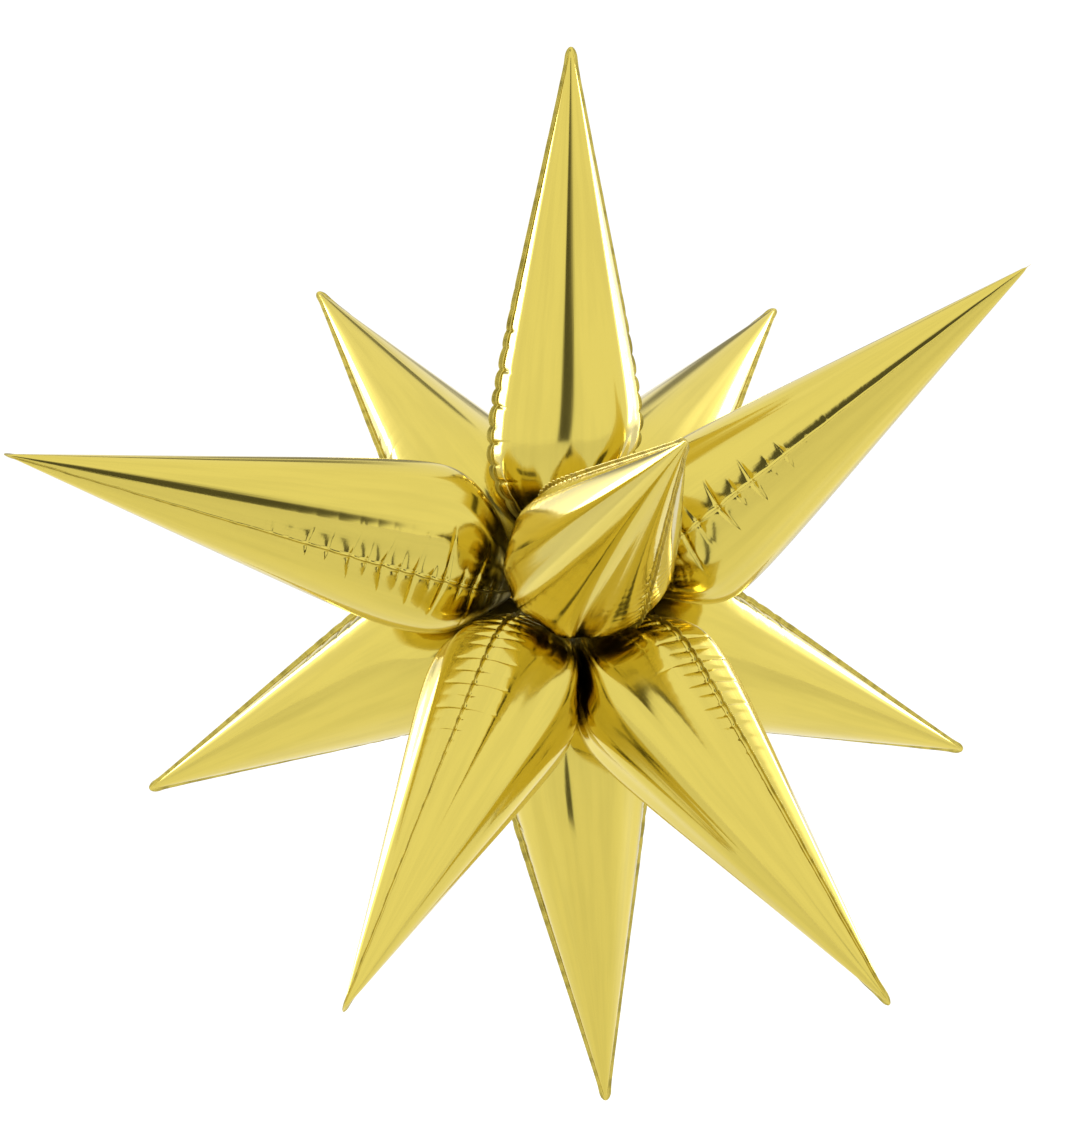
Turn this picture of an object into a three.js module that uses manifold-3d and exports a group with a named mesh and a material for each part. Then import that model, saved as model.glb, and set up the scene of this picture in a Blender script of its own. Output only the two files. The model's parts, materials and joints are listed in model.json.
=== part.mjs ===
// Starburst foil balloon: twelve slim cone-shaped foil balloons that point out of one centre.
// Each spike is two foil panels sealed together along both long edges, with a filling valve
// between them and a flat punched tab at its base. One thin tie cord runs through the twelve
// tabs, and its two ends are drawn tight in a knot at the middle of the star.
// Millimetres, +Z up, the star's front towards -Y, origin at the knot.

import * as THREE from 'three';
import { mergeVertices } from 'three/addons/utils/BufferGeometryUtils.js';
import Module from 'manifold-3d';

const wasm = await Module();
wasm.setup();

// Driving dimensions.
const spikeLength = 475; // middle of the star to the tip of a plain spike
const bodyRadius = 72; // of the long taper, were it to run straight on to the shoulder
const shoulderPlace = 134; // where the base end has opened to its full width
const baseSlope = 1.2; // how fast the base opens out of its tab
const shoulderRound = 3; // the lower, the softer the shoulder
const seamNarrowing = 0.94; // the puckered seams draw a spike in between them
const sealWidth = 6.2; // heat-sealed seam outside the inflated part, up to the shoulder
const tipSealWidth = 3.2; // the same seam at the tip
const tipFilm = 8; // length of the rounded end of the seam at the tip
const filmWall = 0.5; // each foil panel
const panelGap = 0.3; // between the two panels, and wherever two pieces touch
const tabInner = 16; // inner end of the tab, from the middle of the star
const tabOuter = 36; // where the tab opens into the base
const tabWidth = 12;
const holePlace = 24; // tab hole, from the middle of the star
const holeRadius = 2.5;
const cordRadius = 0.8;
const knotRadius = 3.4; // of the knot's round path
const valveWidth = 14;
const valveLength = 60;
const valveWall = 0.3;
const valveSlit = 0.5;
const swing = 1.5; // degrees a spike can swing on the cord, each way
const neighbourGap = 0.5; // from a spike at its farthest swing to the plane it shares with the next

// Where each spike points, how far its seams are turned about it, how much longer than the plain
// spike it is, and how far it leans off the line to its tip, across its seams and across its
// panels. Azimuth is from the front (-Y), positive to +X; angles are in degrees.
// Two spikes are blown up fuller than the rest: girth is how much deeper their panels bulge.
const spikes = [
  { name: 'front', azimuth: 11, elevation: 13, seamTurn: 303, extra: 0, lean: [0, 0] },
  { name: 'right', azimuth: 70.5, elevation: 33.5, seamTurn: 191, extra: 10, lean: [0, 24] },
  { name: 'top', azimuth: 15, elevation: 85.5, seamTurn: 177, extra: -10, lean: [-4, 1] },
  { name: 'left', azimuth: -71.5, elevation: 13.5, seamTurn: 335, extra: 10, lean: [-5, 13],
    girth: 1.08 },
  { name: 'lower_left', azimuth: -26.5, elevation: -40.5, seamTurn: 81, extra: 0, lean: [0, 0] },
  { name: 'lower_right', azimuth: 46.5, elevation: -42, seamTurn: 100, extra: -3, lean: [8, -7],
    girth: 1.1 },
  { name: 'rear_upper_right', azimuth: 147, elevation: 36, seamTurn: 203, extra: 0, lean: [-8, -4] },
  { name: 'rear_upper_left', azimuth: -141.5, elevation: 38, seamTurn: 335, extra: 0, lean: [5, -3] },
  { name: 'rear_lower_left', azimuth: -119, elevation: -22.5, seamTurn: 68, extra: 0, lean: [6, 1] },
  { name: 'bottom', azimuth: 161.5, elevation: -74, seamTurn: 334, extra: 0, lean: [0, 0] },
  { name: 'rear_lower_right', azimuth: 122.5, elevation: -18, seamTurn: 111, extra: 0, lean: [-6, 1] },
  { name: 'rear', azimuth: -177, elevation: -14, seamTurn: 20, extra: 0, lean: [0, 0] },
];

// The order in which the cord runs through the tabs, and the side of each tab it comes from.
const threading = [
  ['front', 1], ['lower_right', 1], ['lower_left', 1], ['left', 1],
  ['rear_upper_left', -1], ['rear_upper_right', -1], ['top', 1], ['right', 1],
  ['rear_lower_right', -1], ['bottom', -1], ['rear_lower_left', 1], ['rear', 1],
];

const foil = new THREE.MeshStandardMaterial({ color: 0xd9bd4a, roughness: 0.12, metalness: 1 });
const clearFilm = new THREE.MeshStandardMaterial({ color: 0xe8e6dc, roughness: 0.3, metalness: 0 });
const whiteCord = new THREE.MeshStandardMaterial({ color: 0xe9e4d2, roughness: 0.8, metalness: 0 });

const star = new THREE.Group();

// A frame per spike: local +Z runs along the spike, local X lies in the plane of its seams.
for (const spike of spikes) {
  const aim = new THREE.Group();
  const tilt = THREE.MathUtils.degToRad(90 - spike.elevation);
  aim.rotation.set(tilt, 0, THREE.MathUtils.degToRad(spike.azimuth), 'ZXY');
  spike.frame = new THREE.Group();
  spike.frame.rotation.z = THREE.MathUtils.degToRad(spike.seamTurn);
  spike.reach = spikeLength + spike.extra;
  aim.add(spike.frame);
  star.add(aim);
}
star.updateMatrixWorld(true);
for (const spike of spikes) {
  spike.axis = new THREE.Vector3(0, 0, 1).transformDirection(spike.frame.matrixWorld);
  spike.tabNormal = new THREE.Vector3(0, 1, 0).transformDirection(spike.frame.matrixWorld);
}

// Radius of the inflated part at a distance along the spike: the steep base and the long
// straight taper, melted into each other so that the shoulder is round.
function inflatedRadius(spike, along) {
  const taper = Math.max(spike.reach - along, 1) * bodyRadius / (spike.reach - shoulderPlace);
  const base = Math.max(along - tabOuter, 0) * baseSlope + tabWidth / 4;
  return (base ** -shoulderRound + taper ** -shoulderRound) ** (-1 / shoulderRound);
}

// The spike's own middle line: off the straight line to the tip by its lean, which fades out
// towards the tip and, below the shoulder, towards the tab.
function middleAt(spike, lean, along) {
  const opened = THREE.MathUtils.smoothstep(along, tabOuter, shoulderPlace);
  const share = opened * (1 - along / spike.reach);
  return lean.map((offset) => offset * share);
}

// The planes halfway to the neighbours, as normals in the spike's own frame.
function neighbourPlanes(spike) {
  const inward = spike.frame.matrixWorld.clone().invert();
  return spikes.filter((other) => other !== spike).map((other) =>
    other.axis.clone().sub(spike.axis).normalize().transformDirection(inward));
}

// The share of the way from the middle line to a point that stays clear of every neighbour,
// with room for both to swing on the cord.
function roomShare(planes, middle, along, across, rise) {
  const turn = THREE.MathUtils.degToRad(swing);
  let share = 1;
  for (const plane of planes) {
    const lever = Math.abs(plane.x) * Math.max(along - holePlace, 0);
    const lift = Math.abs(plane.z) * (Math.abs(middle[0]) + Math.abs(across));
    const clear = neighbourGap + turn * (lever + lift);
    const start = plane.x * middle[0] + plane.y * middle[1] + plane.z * along;
    const sideways = plane.x * across + plane.y * rise;
    if (sideways > 1e-6) share = Math.min(share, (-start - clear) / sideways);
  }
  return Math.max(share, 0.1);
}

// The seam narrows from the shoulder to the tip.
function sealAt(spike, along) {
  const share = THREE.MathUtils.smoothstep(along, shoulderPlace, spike.reach);
  return THREE.MathUtils.lerp(sealWidth, tipSealWidth, share);
}

// Half the width of the inflated part and of the whole piece, seams included.
function halfWidths(spike, along) {
  if (along <= tabOuter) return [tabWidth * 0.4, tabWidth * 0.5];
  const inflated = inflatedRadius(spike, along) * seamNarrowing;
  const past = Math.max(1 - (spike.reach - along) / tipFilm, 0);
  const edge = (inflated + sealAt(spike, along)) * Math.sqrt(1 - past * past * 0.9);
  return [Math.min(inflated, edge * 0.8), edge];
}

// One panel's cross-section: along the near face from one seam edge to the other, and back
// along the far face.
const bulgeSteps = 6;
function panelSection(spike, planes, lean, along) {
  const [inflated, edge] = halfWidths(spike, along);
  const flat = along <= tabOuter || along > spike.reach - tipFilm;
  const bulge = flat ? 0 : inflatedRadius(spike, along) * (spike.girth ?? 1);
  const middle = middleAt(spike, lean, along);
  const edges = [1, -1].map((side) => edge * roomShare(planes, middle, along, side * edge, 0));
  const near = [];
  const far = [];
  const lay = (across, rise) => {
    const drawnIn = Math.max(1 - filmWall / inflated, 0.8);
    const face = middle[1] + panelGap / 2 + rise;
    near.push([middle[0] + across * (rise > 0 ? drawnIn : 1), face, along]);
    far.push([middle[0] + across, face + filmWall, along]);
  };
  lay(edges[0], 0);
  for (let step = 0; step <= bulgeSteps; step += 1) {
    const angle = Math.PI * step / bulgeSteps;
    const across = inflated * Math.cos(angle);
    const rise = bulge * Math.sin(angle);
    const share = roomShare(planes, middle, along, across, rise);
    const seam = across > 0 ? edges[0] : edges[1];
    const widest = Math.max(seam - sealAt(spike, along), seam * 0.5);
    const kept = Math.min(Math.abs(across) * share, widest * Math.abs(Math.cos(angle)));
    lay(Math.sign(across) * kept, Math.max(rise * share - filmWall, 0));
  }
  lay(-edges[1], 0);
  return [...near, ...far.reverse()];
}

// Skins a row of like sections and closes both ends. The near and far faces split their quads
// along the same diagonals, so that the wall between them stays even where they twist.
function loft(sections) {
  const count = sections[0].length;
  const corners = sections.flat(2);
  const faces = [];
  for (let row = 0; row + 1 < sections.length; row += 1) {
    for (let i = 0; i < count; i += 1) {
      const a = row * count + i;
      const b = row * count + (i + 1) % count;
      if (i < count / 2) faces.push(a, a + count, b, b, a + count, b + count);
      else faces.push(a, a + count, b + count, a, b + count, b);
    }
  }
  const last = (sections.length - 1) * count;
  for (let i = 0; i + 1 < count / 2; i += 1) {
    const j = count - 1 - i;
    faces.push(i, i + 1, j, i + 1, j - 1, j);
    faces.push(last + i, last + j, last + i + 1, last + i + 1, last + j, last + j - 1);
  }
  const geometry = new THREE.BufferGeometry();
  geometry.setAttribute('position', new THREE.Float32BufferAttribute(corners, 3));
  geometry.setIndex(faces);
  return geometry;
}

function toSolid(geometry) {
  const bare = geometry.clone();
  bare.deleteAttribute('normal');
  bare.deleteAttribute('uv');
  const merged = mergeVertices(bare, 1e-4);
  return new wasm.Manifold(new wasm.Mesh({
    numProp: 3,
    vertProperties: new Float32Array(merged.attributes.position.array),
    triVerts: new Uint32Array(merged.index.array),
  }));
}

function toGeometry(solid) {
  const mesh = solid.getMesh();
  const geometry = new THREE.BufferGeometry();
  geometry.setAttribute('position', new THREE.BufferAttribute(mesh.vertProperties, 3));
  geometry.setIndex(new THREE.BufferAttribute(mesh.triVerts, 1));
  geometry.computeVertexNormals();
  return geometry;
}

function addPiece(parent, name, geometry, material) {
  const piece = new THREE.Mesh(geometry, material);
  piece.name = name;
  parent.add(piece);
}

// The stations along a spike at which its section is drawn.
function stationsOf(spike) {
  const tipStart = spike.reach - tipFilm;
  const taper = tipStart - shoulderPlace;
  const base = shoulderPlace - tabOuter;
  return [
    tabInner, tabOuter, tabOuter + base * 0.22, tabOuter + base * 0.45, tabOuter + base * 0.7,
    shoulderPlace, shoulderPlace + taper * 0.12, shoulderPlace + taper * 0.3,
    tipStart, tipStart + tipFilm * 0.6, spike.reach,
  ];
}

// Front and back foil panel of a spike, each with the tab hole punched through.
function foilPanel(spike, planes, lean) {
  const sections = stationsOf(spike).map((along) => panelSection(spike, planes, lean, along));
  const shell = toSolid(loft(sections));
  const punch = new THREE.CylinderGeometry(holeRadius, holeRadius, tabWidth, 12);
  punch.translate(0, 0, holePlace);
  return shell.subtract(toSolid(punch));
}

// The filling valve: a flat sleeve of clear film, open at both ends, between the two panels.
function valveSleeve() {
  const half = valveWidth / 2;
  const thick = valveSlit / 2 + valveWall;
  const sleeve = new THREE.Shape([
    new THREE.Vector2(-half, -thick), new THREE.Vector2(half, -thick),
    new THREE.Vector2(half, thick), new THREE.Vector2(-half, thick),
  ]);
  const slit = half - valveWall;
  sleeve.holes.push(new THREE.Path([
    new THREE.Vector2(-slit, -valveSlit / 2), new THREE.Vector2(-slit, valveSlit / 2),
    new THREE.Vector2(slit, valveSlit / 2), new THREE.Vector2(slit, -valveSlit / 2),
  ]));
  const geometry = new THREE.ExtrudeGeometry(sleeve, { depth: valveLength, bevelEnabled: false });
  geometry.translate(0, 0, valveStart());
  return geometry;
}

// The valve starts where the base has opened wide enough to hold it.
function valveStart() {
  return tabOuter + (valveWidth / 2 + valveWall + filmWall) / baseSlope;
}

for (const spike of spikes) {
  const planes = neighbourPlanes(spike);
  const panel = foilPanel(spike, planes, spike.lean);
  addPiece(spike.frame, `${spike.name}_spike_panel_a`, toGeometry(panel), foil);
  // The second panel is made the same way with everything turned half round, then turned back.
  const turned = planes.map((plane) => new THREE.Vector3(-plane.x, -plane.y, plane.z));
  const turnedLean = spike.lean.map((offset) => -offset);
  const other = toGeometry(foilPanel(spike, turned, turnedLean));
  other.rotateZ(Math.PI);
  addPiece(spike.frame, `${spike.name}_spike_panel_b`, other, foil);
  addPiece(spike.frame, `${spike.name}_spike_valve`, valveSleeve(), clearFilm);
}

// The knot that closes the cord: an overhand knot, drawn as the trefoil it makes.
addPiece(star, 'tie_knot', new THREE.TorusKnotGeometry(knotRadius, cordRadius, 42, 6, 2, 3), whiteCord);

// The tie cord passes square through each tab hole, and both ends come in to the knot.
function cordRoute() {
  const through = tabWidth / 3;
  const knotEdge = knotRadius * 1.5 + cordRadius * 2 + panelGap;
  const points = [];
  for (const [name, side] of threading) {
    const spike = spikes.find((entry) => entry.name === name);
    const hole = spike.axis.clone().multiplyScalar(holePlace);
    points.push(hole.clone().addScaledVector(spike.tabNormal, -side * through));
    points.push(hole.clone().addScaledVector(spike.tabNormal, side * through));
  }
  const start = points[0].clone().setLength(knotEdge);
  const finish = points[points.length - 1].clone().setLength(knotEdge);
  return new THREE.CatmullRomCurve3([start, ...points, finish], false, 'centripetal');
}

function roundSection(radius, sides) {
  const corners = [];
  for (let i = 0; i < sides; i += 1) {
    const angle = 2 * Math.PI * i / sides;
    corners.push(new THREE.Vector2(radius * Math.cos(angle), radius * Math.sin(angle)));
  }
  return new THREE.Shape(corners);
}

const cordSteps = 80;
addPiece(star, 'tie_cord', new THREE.ExtrudeGeometry(roundSection(cordRadius, 8), {
  steps: cordSteps, extrudePath: cordRoute(), bevelEnabled: false,
}), whiteCord);

export default star;
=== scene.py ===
import json
import math

import bmesh
import bpy
import numpy as np
from mathutils import Matrix, Vector


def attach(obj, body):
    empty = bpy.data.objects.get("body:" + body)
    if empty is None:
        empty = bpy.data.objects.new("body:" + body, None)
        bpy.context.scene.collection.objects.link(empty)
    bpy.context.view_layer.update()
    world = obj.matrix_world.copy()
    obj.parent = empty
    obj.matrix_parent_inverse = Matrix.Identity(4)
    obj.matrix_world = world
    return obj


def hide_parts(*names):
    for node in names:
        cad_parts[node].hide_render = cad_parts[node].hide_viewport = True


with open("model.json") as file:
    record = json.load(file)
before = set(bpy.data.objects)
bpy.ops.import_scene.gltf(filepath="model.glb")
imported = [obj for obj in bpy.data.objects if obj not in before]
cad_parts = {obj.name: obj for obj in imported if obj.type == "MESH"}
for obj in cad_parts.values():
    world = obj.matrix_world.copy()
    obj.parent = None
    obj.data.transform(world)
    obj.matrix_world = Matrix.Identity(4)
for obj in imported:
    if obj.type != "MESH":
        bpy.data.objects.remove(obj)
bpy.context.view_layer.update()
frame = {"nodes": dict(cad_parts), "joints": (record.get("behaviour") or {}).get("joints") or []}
MM = 0.001

# The camera looks level at the front of the star from a few spike lengths away, a little off
# centre, so that every tip is inside the frame.
camera_data = bpy.data.cameras.new("camera")
camera_data.lens = 87.6
camera_data.shift_x = -0.018
camera_data.shift_y = 0.0232
camera = bpy.data.objects.new("camera", camera_data)
camera.location = (0, -2.375, 0)
camera.rotation_euler = (math.radians(90), 0, 0)
bpy.context.scene.collection.objects.link(camera)
bpy.context.scene.camera = camera

# A white studio: a pale floor well below the star, pale light all round, one dark end behind
# the camera with a near-black strip of painted shade on the floor leading to it, and softboxes
# that put the hot lines along the foil.
FLOOR_DROP = 0.75
FLOOR_SIZE = 40
FLOOR_SHADE = {"half_width": 0.065, "near": 0.37, "far": 2.3}
ROOM_LIGHT = 1.06
DARK_END = {"azimuth": -2, "elevation": 7, "half_width": 13, "half_height": 22, "light": 0.1, "tilt": 24}
GLOWS = (
    {"azimuth": -133, "elevation": 17, "half_width": 13, "half_height": 18, "light": 2.1, "soft": 0.7},
    {"azimuth": 135, "elevation": 19, "half_width": 13, "half_height": 18, "light": 2.1, "soft": 0.7},
)
DIM_WALLS = (
    {"azimuth": 181, "elevation": 32, "half_width": 4, "half_height": 14, "light": 0.3},
    {"azimuth": -165, "elevation": 57, "half_width": 12, "half_height": 4, "light": 0.25},
    {"azimuth": 152, "elevation": 26, "half_width": 20, "half_height": 5, "light": 0.3},
    {"azimuth": -150, "elevation": 22, "half_width": 20, "half_height": 5, "light": 0.3},
)
SOFTBOXES = (
    {"name": "rear_left", "azimuth": -132, "elevation": 16, "away": 2.4, "size": (0.55, 1.1), "light": 6},
    {"name": "rear_right", "azimuth": 134, "elevation": 18, "away": 2.4, "size": (0.55, 1.1), "light": 6},
)


def heading(azimuth, elevation):
    """The direction at an azimuth from the front, positive to the right, and an elevation."""
    turn, rise = math.radians(azimuth), math.radians(elevation)
    return Vector((math.sin(turn) * math.cos(rise), -math.cos(turn) * math.cos(rise), math.sin(rise)))


def math_node(tree, operation, *values):
    node = tree.nodes.new("ShaderNodeMath")
    node.operation = operation
    for socket, value in zip(node.inputs, values):
        if isinstance(value, bpy.types.NodeSocket):
            tree.links.new(value, socket)
        else:
            socket.default_value = value
    return node.outputs[0]


def flat_mesh(name, half_width, half_length, centre):
    bm = bmesh.new()
    bmesh.ops.create_grid(bm, x_segments=1, y_segments=1, size=1)
    bmesh.ops.scale(bm, vec=(half_width, half_length, 1), verts=bm.verts)
    bmesh.ops.translate(bm, vec=centre, verts=bm.verts)
    mesh = bpy.data.meshes.new(name)
    bm.to_mesh(mesh)
    bm.free()
    return mesh


def studio_floor():
    mesh = flat_mesh("floor", FLOOR_SIZE, FLOOR_SIZE, (0, 0, -FLOOR_DROP))
    paint = bpy.data.materials.new("floor_paint")
    paint.use_nodes = True
    shader = paint.node_tree.nodes["Principled BSDF"]
    shader.inputs["Base Color"].default_value = (0.84, 0.84, 0.84, 1)
    shader.inputs["Roughness"].default_value = 0.9
    shader.inputs["Emission Color"].default_value = (1, 1, 1, 1)
    seen = paint.node_tree.nodes.new("ShaderNodeLightPath").outputs["Is Camera Ray"]
    lift = math_node(paint.node_tree, "MULTIPLY", seen, 0.22)
    paint.node_tree.links.new(lift, shader.inputs["Emission Strength"])
    mesh.materials.append(paint)
    floor = bpy.data.objects.new("floor", mesh)
    bpy.context.scene.collection.objects.link(floor)


def painted_floor_shade(half_width, near, far):
    """A narrow near-black strip of painted shade on the floor from below the star toward the camera,
    which only the foil's reflections show."""
    middle = (0, -(near + far) / 2, 0.005 - FLOOR_DROP)
    mesh = flat_mesh("floor_shade", half_width, (far - near) / 2, middle)
    # Near-black paint that stands in for shade on the floor; it is seen only in the foil's reflections.
    shade_paint = bpy.data.materials.new("floor_shade_paint")
    shade_paint.use_nodes = True
    shade_paint.node_tree.nodes["Principled BSDF"].inputs["Base Color"].default_value = (0.02, 0.02, 0.02, 1)
    mesh.materials.append(shade_paint)
    floor_shade = bpy.data.objects.new("floor_shade", mesh)
    floor_shade.visible_camera = False
    floor_shade.visible_shadow = False
    floor_shade.visible_diffuse = False
    bpy.context.scene.collection.objects.link(floor_shade)


def dot_node(tree, direction, vector):
    node = tree.nodes.new("ShaderNodeVectorMath")
    node.operation = "DOT_PRODUCT"
    tree.links.new(direction, node.inputs[0])
    node.inputs[1].default_value = vector
    return node.outputs["Value"]


def soft_step(tree, value, start, end, low, high):
    node = tree.nodes.new("ShaderNodeMapRange")
    node.interpolation_type = "SMOOTHSTEP"
    tree.links.new(value, node.inputs["Value"])
    for name, number in (("From Min", start), ("From Max", end), ("To Min", low), ("To Max", high)):
        node.inputs[name].default_value = number
    return node.outputs["Result"]


def wall_share(tree, direction, wall):
    """1 inside a soft-edged patch of the room, 0 outside it."""
    centre = heading(wall["azimuth"], wall["elevation"])
    right = centre.cross(Vector((0, 0, 1))).normalized()
    over = right.cross(centre)
    tilt = Matrix.Rotation(math.radians(-wall.get("tilt", 0)), 3, centre)
    facing = dot_node(tree, direction, centre)
    share = soft_step(tree, facing, 0.05, 0.1, 0, 1)
    for side, half in ((tilt @ right, wall["half_width"]), (tilt @ over, wall["half_height"])):
        offset = math_node(tree, "DIVIDE", dot_node(tree, direction, side), facing)
        distance = math_node(tree, "ABSOLUTE", offset)
        edge = math.tan(math.radians(half))
        soft = wall.get("soft", 0.25)
        inside = soft_step(tree, distance, edge * (1 - soft), edge * (1 + soft), 1, 0)
        share = math_node(tree, "MULTIPLY", share, inside)
    return share


def studio_room():
    world = bpy.data.worlds.new("studio")
    bpy.context.scene.world = world
    world.use_nodes = True
    tree = world.node_tree
    sky = tree.nodes["Background"]
    direction = tree.nodes.new("ShaderNodeTexCoord").outputs["Generated"]
    light = ROOM_LIGHT
    for wall in (DARK_END, *GLOWS, *DIM_WALLS):
        share = wall_share(tree, direction, wall)
        kept = math_node(tree, "SUBTRACT", 1, math_node(tree, "MULTIPLY", share, 1 - wall["light"]))
        light = math_node(tree, "MULTIPLY", light, kept)
    seen = tree.nodes.new("ShaderNodeLightPath").outputs["Is Camera Ray"]
    mixed = tree.nodes.new("ShaderNodeMix")
    tree.links.new(seen, mixed.inputs["Factor"])
    tree.links.new(light, mixed.inputs["A"])
    mixed.inputs["B"].default_value = ROOM_LIGHT
    tree.links.new(mixed.outputs["Result"], sky.inputs["Strength"])
    sky.inputs["Color"].default_value = (1, 1, 1, 1)


def softbox(name, azimuth, elevation, away, size, light):
    data = bpy.data.lights.new(name, "AREA")
    data.shape = "RECTANGLE"
    data.size, data.size_y = size
    data.energy = light * math.pi * size[0] * size[1]
    lamp = bpy.data.objects.new(name, data)
    toward = heading(azimuth, elevation)
    lamp.location = toward * away
    lamp.rotation_euler = toward.to_track_quat("Z", "Y").to_euler()
    lamp.visible_camera = False
    bpy.context.scene.collection.objects.link(lamp)


studio_floor()
painted_floor_shade(**FLOOR_SHADE)
studio_room()
for box in SOFTBOXES:
    softbox(**box)
bpy.context.scene.view_settings.view_transform = "Standard"

# One spike's cut and fit: where its tab ends, how fast the base opens, how wide the sealed edge
# is, and how much room it keeps from its neighbours so that it can swing on the cord.
TAB_INNER = 16
TAB_OUTER = 36
TAB_WIDTH = 12
HOLE_RADIUS = 2.5
BASE_SLOPE = 1.2
BODY_RADIUS = 72
SHOULDER = 134
SHOULDER_ROUND = 3.0
GIRTH = {"left": 1.08, "lower_right": 1.1, "front": 1.04}
SEAM_NARROWING = 0.94
SEAL_WIDTH = 4.2
TIP_SEAL_WIDTH = 2.6
BLOWN_OUT = (2.0, 0.6)
TIP_ROUND = 8
NEIGHBOUR_GAP = 0.5
LEAN = {
    "right": (0, 24), "top": (-4, 1), "left": (-5, 13), "lower_right": (8, -7),
    "rear_upper_right": (-8, -4), "rear_upper_left": (5, -3), "rear_lower_left": (6, 1),
    "rear_lower_right": (-6, 1),
}


class Spike:
    """Where one balloon is strung, which way it points and how its seams lie."""

    def __init__(self, joint):
        self.body = joint["child"]
        self.name = self.body.removesuffix("_spike")
        hole = Vector(joint["pos_m"])
        self.hole = hole.length / MM
        self.along = hole.normalized()
        self.up = Vector(joint["axis"]).normalized()
        self.across = self.up.cross(self.along).normalized()
        self.swing = math.radians(max(joint["range_deg"]))
        panel = frame["nodes"][f"{self.body}_panel_a"].data
        self.reach = max(v.co.dot(self.along) for v in panel.vertices) / MM
        self.lean = LEAN.get(self.name, (0, 0))

    def planes(self, spikes):
        """The planes halfway to the other spikes, in this spike's own axes."""
        rows = []
        for other in spikes:
            if other is not self:
                n = (other.along - self.along).normalized()
                rows.append((n.dot(self.across), n.dot(self.up), n.dot(self.along)))
        return np.array(rows)

    def place(self, x, y, z):
        axes = np.array([self.across, self.up, self.along])
        return np.stack([x, y, z], -1) @ axes * MM


spikes = [Spike(joint) for joint in frame["joints"]]


def smooth(edge0, edge1, value):
    t = np.clip((value - edge0) / (edge1 - edge0), 0, 1)
    return t * t * (3 - 2 * t)


def inflated_radius(spike, z):
    taper = np.maximum(spike.reach - z, 1) * BODY_RADIUS / (spike.reach - SHOULDER)
    base = np.maximum(z - TAB_OUTER, 0) * BASE_SLOPE + TAB_WIDTH / 4
    return (base ** -SHOULDER_ROUND + taper ** -SHOULDER_ROUND) ** (-1 / SHOULDER_ROUND)


def room_share(spike, planes, mid_x, mid_y, z, x, y):
    """Share of the way out that stays clear of every neighbour, softly rounded where it cuts in."""
    squeeze = np.zeros_like(x)
    for nx, ny, nz in planes:
        lever = abs(nx) * np.maximum(z - spike.hole, 0)
        lift = abs(nz) * (np.abs(mid_x) + np.abs(x))
        clear = NEIGHBOUR_GAP + spike.swing * (lever + lift)
        start = nx * mid_x + ny * mid_y + nz * z
        out = nx * x + ny * y
        squeeze = np.maximum(squeeze, out / np.maximum(-start - clear, 1e-3))
    return (1 + squeeze ** 12) ** (-1 / 12)


# The seam puckers: the flat seam is too long for the blown-up cone, so it gathers in sharp pinches
# across the seam, deep and close together at the full base end and gone in the outer half.
PUCKER_START = 56
PUCKER_END = 285
PILLOW_HEIGHT = 1.2
PILLOW_REACH = 15
SCALLOP = 1.9
WAVY_EDGE = {"top": 1.0, "left": 1.0, "right": 1.0, "front": 1.0, "lower_left": 0.9, "lower_right": 0.9}
CALM_EDGE = 0.4


def seam_puckers(rng, spacing, length, evenness):
    """Rows of (place, length, depth, half width, slant), a deep pinch and a slight one in turn."""
    rows = []
    place = PUCKER_START + rng.uniform(0, 6)
    while place < PUCKER_END:
        deep = len(rows) % 2 == 0
        keep = 1 - 0.85 * float(smooth(150, PUCKER_END + 10, place))
        share = rng.uniform(0.8, 1.25) if deep else rng.uniform(0.25, 0.5) * (1 - evenness) + 0.85 * evenness
        depth = rng.uniform(2.0, 2.9) if deep else rng.uniform(0.9, 1.5) * (1 - evenness) + 1.7 * evenness
        slant = rng.uniform(-0.2, 0.08)
        rows.append((place, length * share * keep, depth * keep, rng.uniform(1.1, 1.6), slant))
        place += spacing * rng.uniform(0.78 + 0.1 * evenness, 1.28 - 0.1 * evenness)
    return np.array(rows)


def pillow(puckers, z):
    """1 at a pinch, 0 midway between two pinches."""
    places = puckers[:, 0]
    cell = np.clip(np.searchsorted(places, z) - 1, 0, len(places) - 2)
    gap = places[cell + 1] - places[cell]
    t = np.clip((z - places[cell]) / gap, 0, 1)
    fade = smooth(PUCKER_END, 130, z) * smooth(TAB_OUTER, 70, z)
    return (1 - np.sin(math.pi * t) ** 0.8) * np.clip(gap / 16, 0.5, 1.5) * fade


def pucker_depth(puckers, z, s, reach_share):
    """How deep the film is drawn in at z, a distance s from the seam, where one panel's pinches
    run the given share of their full length."""
    depth = np.zeros_like(z)
    for place, length, deep, width, slant in puckers:
        left = np.clip(1 - s / (length * reach_share), 0, 1)
        half = width * (0.45 + 0.55 * left)
        off = np.abs(z - place - slant * s) / half
        depth += deep * left ** 0.75 * np.maximum(1 - off / 2.2, 0) ** 1.5
    return depth * smooth(50, 78, z) + PILLOW_HEIGHT * pillow(puckers, z) * np.exp(-(s / PILLOW_REACH) ** 1.3)


def row_places(spike):
    return np.concatenate([
        np.arange(TAB_INNER, TAB_OUTER, 0.8), np.arange(TAB_OUTER, 240, 1.1),
        np.arange(240, 290, 1.6), np.arange(290, spike.reach - TIP_ROUND, 5),
        spike.reach - TIP_ROUND * np.linspace(1, 0, 7) ** 1.6,
    ])


SEAL_COLUMNS = 3
BODY_COLUMNS = 44
SEAM_CROWDING = 0.2 / math.pi
FILM_THICKNESS = 0.2
PANEL_OFFSET = 0.12
ZIGZAG = 0.12


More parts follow.
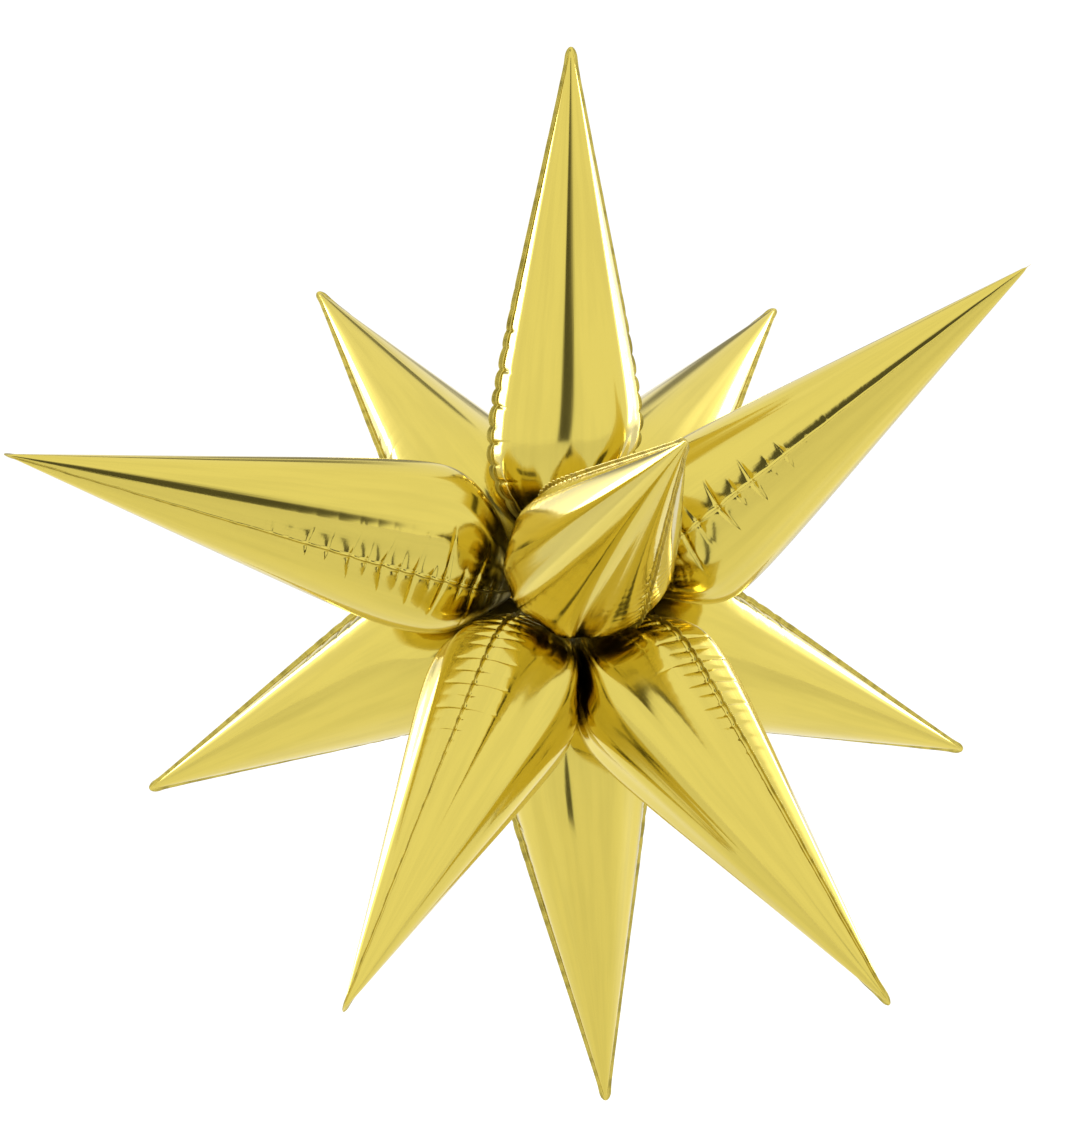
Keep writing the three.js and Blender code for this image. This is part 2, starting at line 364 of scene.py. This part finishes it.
def film_sheet(name, rows, columns):
    """A flat grid with its rows along Y and its columns along X, and each vertex's row and column."""
    bm = bmesh.new()
    bmesh.ops.create_grid(bm, x_segments=columns - 1, y_segments=rows - 1, size=1)
    mesh = bpy.data.meshes.new(name)
    bm.to_mesh(mesh)
    bm.free()
    flat = np.zeros(len(mesh.vertices) * 3)
    mesh.vertices.foreach_get("co", flat)
    flat = flat.reshape(-1, 3)
    column = np.rint((flat[:, 0] + 1) / 2 * (columns - 1)).astype(int)
    row = np.rint((flat[:, 1] + 1) / 2 * (rows - 1)).astype(int)
    return mesh, row, column


def zigzag(seams, right, z):
    """The sealed edge steps a little to one side and back between its pinches."""
    steps = []
    for puckers in seams:
        places = puckers[:, 0]
        sway = np.where(np.arange(len(places)) % 2 == 0, 1.0, -1.0) * puckers[:, 2] * ZIGZAG
        steps.append(np.interp(z, places, sway, left=0, right=0))
    return np.where(right, steps[0], steps[1])


def foil_panel(spike, planes, side, seams, reaches, folds):
    """One foil panel: side is 1 or -1, seams are the puckers of its two long edges."""
    z_rows = row_places(spike)
    t = np.linspace(0, 1, BODY_COLUMNS + 1)
    angles = math.pi * (t - SEAM_CROWDING * np.sin(2 * math.pi * t))
    columns = len(angles) + 2 * SEAL_COLUMNS
    mesh, row, column = film_sheet(f"{spike.body}_foil_{'a' if side > 0 else 'b'}", len(z_rows), columns)
    z = z_rows[row]
    inner = np.clip(column - SEAL_COLUMNS, 0, BODY_COLUMNS)
    angle = angles[inner]
    on_seal = np.maximum(SEAL_COLUMNS - column, column - SEAL_COLUMNS - BODY_COLUMNS)
    on_seal = np.maximum(on_seal, 0) / SEAL_COLUMNS
    right = angle < math.pi / 2

    full = inflated_radius(spike, z)
    flat_tab = 1 - smooth(TAB_OUTER - 4, TAB_OUTER + 6, z)
    flat_tip = smooth(spike.reach - TIP_ROUND, spike.reach - 2, z)
    bulge = full * GIRTH.get(spike.name, 1) * (1 - flat_tab) * (1 - flat_tip)
    half = np.where(z <= TAB_OUTER, TAB_WIDTH * 0.4, full * SEAM_NARROWING)
    past = np.maximum(1 - (spike.reach - z) / TIP_ROUND, 0)
    outward = smooth(SHOULDER, spike.reach, z)
    narrow = SEAL_WIDTH + (TIP_SEAL_WIDTH - SEAL_WIDTH) * outward
    blown_out = BLOWN_OUT[0] + (BLOWN_OUT[1] - BLOWN_OUT[0]) * outward
    half = half + blown_out * smooth(TAB_OUTER, TAB_OUTER + 20, z)
    end_round = np.sqrt(1 - past ** 2 * 0.97)
    half = half * end_round
    seal = np.where(z <= TAB_OUTER, TAB_WIDTH * 0.1, narrow) * end_round

    opened = smooth(TAB_OUTER, SHOULDER, z) * (1 - z / spike.reach)
    mid_x, mid_y = spike.lean[0] * opened, spike.lean[1] * opened

    # How far each point is from the seam, along the film.
    s = full * np.minimum(angle, math.pi - angle)
    at_weld = np.zeros_like(z)
    inward = [pucker_depth(seam, z, s, reach) for seam, reach in zip(seams, reaches)]
    notches = [pucker_depth(seam, z, at_weld, 1) for seam in seams]
    pinch, notch = np.where(right, *inward), np.where(right, *notches)
    scallop = np.where(right, *[pillow(seam, z) for seam in seams])
    wavy = WAVY_EDGE.get(spike.name, CALM_EDGE)
    seam_pinch = (0.35 * notch + SCALLOP * scallop) * wavy
    x = half * np.cos(angle)
    y = bulge * np.sin(angle)
    fold = np.zeros_like(z)
    for centre, width, height, fade in folds:
        fold = fold + height * np.exp(-((angle - centre) / width) ** 2) * smooth(spike.reach, fade, z)

    edge_x = np.where(right, 1, -1) * (half + seal)
    edge_share = room_share(spike, planes, mid_x, mid_y, z, edge_x, np.zeros_like(z))
    weld = np.maximum((half + seal) * edge_share - seal, (half + seal) * edge_share * 0.6)
    share = room_share(spike, planes, mid_x, mid_y, z, x, side * y)
    pressed = 1 - smooth(0.8, 0.98, share)
    fold = np.where(fold > 0, fold * (1 - pressed), fold) * bulge / BODY_RADIUS
    x = x * share
    y = y * share
    x = np.sign(x) * np.minimum(np.abs(x), weld * np.abs(np.cos(angle)) + weld * 1e-6)
    shrink = 1 - (pinch - fold) / np.maximum(full, 8)
    x = x * np.where(on_seal > 0, 1, shrink)
    y = y * shrink

    base_x = weld - seam_pinch
    hand = np.where(right, 1, -1)
    at_edge = (on_seal == 0) & ((inner == 0) | (inner == BODY_COLUMNS))
    x = np.where(on_seal > 0, hand * (base_x + seal * on_seal), x)
    x = np.where(at_edge, hand * base_x, x)
    wave = np.sin(z * 0.17 + spike.reach) * np.sin(z * 0.061) * 0.35 + zigzag(seams, right, z) * wavy
    ruffle = wave * (0.5 + 0.5 * on_seal) * smooth(50, 80, z) * (1 - past)
    near_seam = np.exp(-(s / 5) ** 2) * (on_seal == 0) + (on_seal > 0)
    ruffle = ruffle * near_seam
    y = side * (y + PANEL_OFFSET) + ruffle
    points = spike.place(mid_x + x, mid_y + y, z)
    mesh.vertices.foreach_set("co", points.ravel())
    if side < 0:
        mesh.flip_normals()
    from_seam = np.where(on_seal > 0, -on_seal * SEAL_WIDTH, s)
    for name, values in (("seam", from_seam), ("along", z), ("turn", side * angle)):
        attribute = mesh.attributes.new(name, "FLOAT", "POINT")
        attribute.data.foreach_set("value", values.astype(np.float32))
    mesh.shade_smooth()
    return mesh


HOLE_EDGE = 1


def punch_tab(mesh, spike):
    """The hole in the tab that the tie cord runs through, its edge brought to a true circle."""
    bm = bmesh.new()
    bm.from_mesh(mesh)
    centre = spike.along * spike.hole * MM

    def on_tab(point):
        arm = point - centre
        return Vector((arm.dot(spike.across), arm.dot(spike.along))) / MM

    punched = [face for face in bm.faces if on_tab(face.calc_center_median()).length < HOLE_RADIUS]
    bmesh.ops.delete(bm, geom=punched, context="FACES")
    for vert in bm.verts:
        place = on_tab(vert.co)
        if vert.is_boundary and abs(place.length - HOLE_RADIUS) < HOLE_EDGE:
            shift = place.normalized() * (HOLE_RADIUS - place.length) * MM
            vert.co += spike.across * shift.x + spike.along * shift.y
    bm.to_mesh(mesh)
    bm.free()


FOIL_GOLD = (0.735, 0.6, 0.122, 1)
BUMP_HEIGHT = 0.6


def gold_foil():
    """Metallised film: mirror-bright, with rolling lines along it, small ripples against the seam
    and a duller, ribbed band where the two films are sealed. Its colour holds painted shade: it
    darkens toward the base where the spikes crowd together, and the sealed band is darker in
    blotches, partly the duller sealed film itself and partly painted shade between the seal and the film."""
    foil = bpy.data.materials.new("gold_foil")
    foil.use_nodes = True
    tree = foil.node_tree
    nodes, links = tree.nodes, tree.links
    shader = nodes["Principled BSDF"]
    shader.inputs["Metallic"].default_value = 1

    def attribute(name):
        node = nodes.new("ShaderNodeAttribute")
        node.attribute_name = name
        return node.outputs["Fac"]

    def noise(x, y, scale_x, scale_y, detail):
        place = nodes.new("ShaderNodeCombineXYZ")
        links.new(math_node(tree, "MULTIPLY", x, scale_x), place.inputs["X"])
        links.new(math_node(tree, "MULTIPLY", y, scale_y), place.inputs["Y"])
        node = nodes.new("ShaderNodeTexNoise")
        node.inputs["Scale"].default_value = 1
        node.inputs["Detail"].default_value = detail
        links.new(place.outputs["Vector"], node.inputs["Vector"])
        return node.outputs["Fac"]

    seam, along, turn = attribute("seam"), attribute("along"), attribute("turn")
    on_seal = soft_step(tree, seam, -0.8, 0.2, 1, 0)
    off_seal = math_node(tree, "SUBTRACT", 1, on_seal)
    streaks = noise(turn, along, 26, 0.01, 2)
    ripples = noise(along, turn, 0.12, 2, 2)
    fading = soft_step(tree, along, 280, 400, 1, 0)
    near = math_node(tree, "MULTIPLY", soft_step(tree, seam, 1, 14, 1, 0), fading)
    near = math_node(tree, "MULTIPLY", near, soft_step(tree, along, 70, 120, 0, 1))
    ripples = math_node(tree, "MULTIPLY", math_node(tree, "MULTIPLY", ripples, near), 0.9)
    ribs = math_node(tree, "SINE", math_node(tree, "MULTIPLY", along, 3.6))
    ribs = math_node(tree, "MULTIPLY", math_node(tree, "MULTIPLY", ribs, on_seal), 0.06)
    height = math_node(tree, "MULTIPLY", math_node(tree, "MULTIPLY", streaks, off_seal), 0.09)
    height = math_node(tree, "ADD", math_node(tree, "ADD", height, ripples), ribs)
    bump = nodes.new("ShaderNodeBump")
    bump.inputs["Distance"].default_value = BUMP_HEIGHT * MM
    bump.inputs["Strength"].default_value = 0.5
    links.new(height, bump.inputs["Height"])
    links.new(bump.outputs["Normal"], shader.inputs["Normal"])

    haze = math_node(tree, "MULTIPLY", noise(turn, along, 6, 0.02, 2), 0.08)
    gathered = soft_step(tree, along, 40, 95, 1, 0)
    rough = math_node(tree, "ADD", math_node(tree, "MULTIPLY", on_seal, 0.2), haze)
    rough = math_node(tree, "ADD", rough, math_node(tree, "MULTIPLY", gathered, 0.22))
    rough = math_node(tree, "ADD", rough, soft_step(tree, along, 120, 300, 0.05, 0))
    links.new(math_node(tree, "ADD", rough, 0.05), shader.inputs["Roughness"])

    # The sealed band darkens in blotches: partly the duller sealed film itself, partly painted shade between
    # the seal and the panel beside it.
    seal_dulling_and_shade = soft_step(tree, noise(along, turn, 0.08, 2, 2), 0.4, 0.7, 0.14, 0.5)
    dulling_and_painted_shade = math_node(tree, "SUBTRACT", 1, math_node(tree, "MULTIPLY", on_seal, seal_dulling_and_shade))
    # Painted shade: the colour falls to 0.16 of the gold toward the base, where the spikes crowd together at
    # the core.
    dulling_and_painted_shade = math_node(tree, "MULTIPLY", dulling_and_painted_shade, soft_step(tree, along, 30, 100, 0.16, 1))
    film = soft_step(tree, noise(turn, along, 5, 0.008, 3), 0.3, 0.7, 0.94, 1.02)
    fine = soft_step(tree, noise(turn, along, 30, 0.01, 2), 0.3, 0.7, 0.985, 1.005)
    film = math_node(tree, "MULTIPLY", film, fine)
    dulling_and_painted_shade = math_node(tree, "MULTIPLY", dulling_and_painted_shade, film)
    tone = nodes.new("ShaderNodeMix")
    tone.data_type = "RGBA"
    tone.inputs["A"].default_value = (0, 0, 0, 1)
    tone.inputs["B"].default_value = FOIL_GOLD
    links.new(dulling_and_painted_shade, tone.inputs["Factor"])
    links.new(tone.outputs["Result"], shader.inputs["Base Color"])
    return foil


# The twelve balloons. The two panels of a balloon share each seam's pinches, which run farther
# into one panel than into the other, and each panel has long soft folds of its own.
# A seam's pinches are given as (spacing, length, evenness).
PINCHES = {
    "right": (17, 52, 0.1), "left": (15, 34, 0.1), "lower_left": (11.5, 36, 0.75),
    "lower_right": (11.5, 36, 0.75), "top": (16, 30, 0.1), "front": (12, 12, 0.2),
}
COMMON_PINCHES = (17, 32, 0.1)
FOLD_COUNT = {"front": 9, "lower_left": 8, "lower_right": 8, "bottom": 7, "top": 6}


def long_folds(rng, count):
    """Rows of (angle across the panel, half width, height, where along the spike it is full)."""
    centres = np.linspace(0.45, math.pi - 0.45, count) + rng.uniform(-0.12, 0.12, count)
    heights = np.where(np.arange(count) % 2 == 0, 1, -1) * rng.uniform(0.7, 2.1, count)
    return list(zip(centres, rng.uniform(0.1, 0.2, count), heights, rng.uniform(90, 300, count)))


foil = gold_foil()
for number, spike in enumerate(spikes):
    planes = spike.planes(spikes)
    rng = np.random.default_rng(40 + number)
    seams = [seam_puckers(rng, *PINCHES.get(spike.name, COMMON_PINCHES)) for _ in range(2)]
    for side, letter in ((1, "a"), (-1, "b")):
        reaches = rng.uniform(0.7, 1.15, 2)
        folds = long_folds(rng, FOLD_COUNT.get(spike.name, 5))
        mesh = foil_panel(spike, planes, side, seams, reaches, folds)
        punch_tab(mesh, spike)
        mesh.materials.append(foil)
        piece = bpy.data.objects.new(mesh.name, mesh)
        bpy.context.scene.collection.objects.link(piece)
        wall = piece.modifiers.new("film", "SOLIDIFY")
        wall.thickness = FILM_THICKNESS * MM
        wall.offset = -1
        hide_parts(f"{spike.body}_panel_{letter}")
        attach(piece, spike.body)

# The filling valves: a flat sleeve of clear film between the two panels of each balloon, welded
# along its sides, which closes by itself once the straw is drawn out.
def clear_film():
    film = bpy.data.materials.new("valve_film")
    film.use_nodes = True
    tree = film.node_tree
    shader = tree.nodes["Principled BSDF"]
    shader.inputs["Base Color"].default_value = (0.88, 0.87, 0.82, 1)
    shader.inputs["Transmission Weight"].default_value = 0.7
    shader.inputs["IOR"].default_value = 1.48
    place = tree.nodes.new("ShaderNodeTexCoord").outputs["Object"]
    haze = tree.nodes.new("ShaderNodeTexNoise")
    haze.inputs["Scale"].default_value = 160
    tree.links.new(place, haze.inputs["Vector"])
    tree.links.new(soft_step(tree, haze.outputs["Fac"], 0.3, 0.7, 0.18, 0.34), shader.inputs["Roughness"])
    bump = tree.nodes.new("ShaderNodeBump")
    bump.inputs["Distance"].default_value = 0.2 * MM
    bump.inputs["Strength"].default_value = 0.4
    tree.links.new(haze.outputs["Fac"], bump.inputs["Height"])
    tree.links.new(bump.outputs["Normal"], shader.inputs["Normal"])
    return film


def dress(node, material):
    for slot in frame["nodes"][node].material_slots:
        slot.link = "OBJECT"
        slot.material = material


valve_film = clear_film()
for spike in spikes:
    dress(f"{spike.body}_valve", valve_film)


# The tie: one white twisted thread through the twelve tabs, drawn tight and knotted in the middle.
def twisted_thread():
    thread = bpy.data.materials.new("tie_thread")
    thread.use_nodes = True
    tree = thread.node_tree
    shader = tree.nodes["Principled BSDF"]
    shader.inputs["Sheen Weight"].default_value = 0.3
    shader.inputs["Roughness"].default_value = 0.75
    place = tree.nodes.new("ShaderNodeTexCoord").outputs["Object"]
    strands = tree.nodes.new("ShaderNodeTexWave")
    strands.bands_direction = "DIAGONAL"
    strands.inputs["Scale"].default_value = 330
    strands.inputs["Distortion"].default_value = 1.5
    tree.links.new(place, strands.inputs["Vector"])
    # Painted shade: the colour darkens to a brownish grey in the grooves between the twisted strands.
    tone = tree.nodes.new("ShaderNodeMix")
    tone.data_type = "RGBA"
    tone.inputs["A"].default_value = (0.55, 0.5, 0.4, 1)
    tone.inputs["B"].default_value = (0.86, 0.83, 0.74, 1)
    tree.links.new(strands.outputs["Fac"], tone.inputs["Factor"])
    tree.links.new(tone.outputs["Result"], shader.inputs["Base Color"])
    bump = tree.nodes.new("ShaderNodeBump")
    bump.inputs["Distance"].default_value = 0.3 * MM
    bump.inputs["Strength"].default_value = 0.8
    tree.links.new(strands.outputs["Fac"], bump.inputs["Height"])
    tree.links.new(bump.outputs["Normal"], shader.inputs["Normal"])
    return thread


thread = twisted_thread()
dress("tie_cord", thread)
dress("tie_knot", thread)
